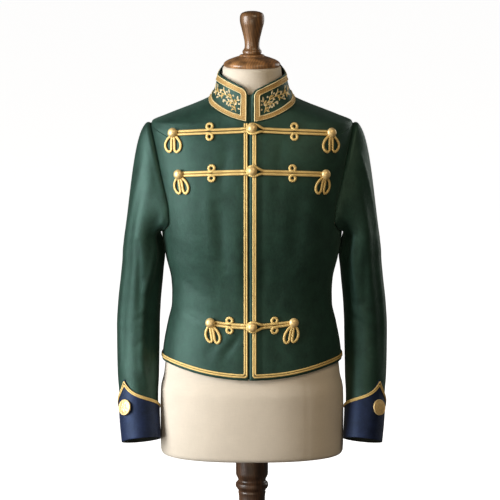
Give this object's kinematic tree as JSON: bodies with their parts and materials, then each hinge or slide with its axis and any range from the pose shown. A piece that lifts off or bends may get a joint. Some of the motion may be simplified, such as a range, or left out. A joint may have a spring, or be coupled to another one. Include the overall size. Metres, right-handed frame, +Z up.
{
  "type": "hussar jacket on dress form",
  "caption": "Short braided military dress jacket with standing collar and pointed cuffs, worn on a limbless dress form with turned wooden neck cap, pole and round base.",
  "frame": {"origin": "on the floor, under the middle of the round base and on the pole's axis", "axes": "+Z up along the pole, -Y out of the jacket's front, +X to the wearer's left"},
  "size_m": [0.5428, 0.2984, 1.189],
  "materials": {
    "green_wool": "matte fulled wool with a short nap",
    "dark_wool": "matte wool in shade",
    "navy_wool": "matte fulled wool with a short nap",
    "gold_braid": "twisted metallic cord, satin",
    "gilt": "soft polished gilt",
    "linen": "plain woven linen, matte",
    "brown_wood": "waxed, semi-gloss",
    "dark_wood": "waxed, semi-gloss"
  },
  "bodies": {
    "root": {"back": "green_wool", "front_left": "green_wool", "front_right": "green_wool", "sleeve_left": "green_wool", "sleeve_right": "green_wool", "collar": "green_wool", "underlap": "dark_wool", "cuff_left": "navy_wool", "cuff_right": "navy_wool", "form_body": "linen", "neck_cap": "brown_wood", "finial": "brown_wood", "pole": "dark_wood", "base": "dark_wood", "collar_lace": "gold_braid", "edge_braid_left": "gold_braid", "cuff_braid_left": "gold_braid", "cuff_button_left": "gilt", "frog_chest_left": "gold_braid", "knob_chest_left": "gilt", "frog_breast_left": "gold_braid", "knob_breast_left": "gilt", "frog_waist_left": "gold_braid", "knob_waist_left": "gilt", "edge_braid_right": "gold_braid", "cuff_braid_right": "gold_braid", "cuff_button_right": "gilt", "frog_chest_right": "gold_braid", "knob_chest_right": "gilt", "frog_breast_right": "gold_braid", "knob_breast_right": "gilt", "frog_waist_right": "gold_braid", "knob_waist_right": "gilt", "button_chest": "gilt", "button_breast": "gilt", "button_waist": "gilt"}
  },
  "joints": []
}
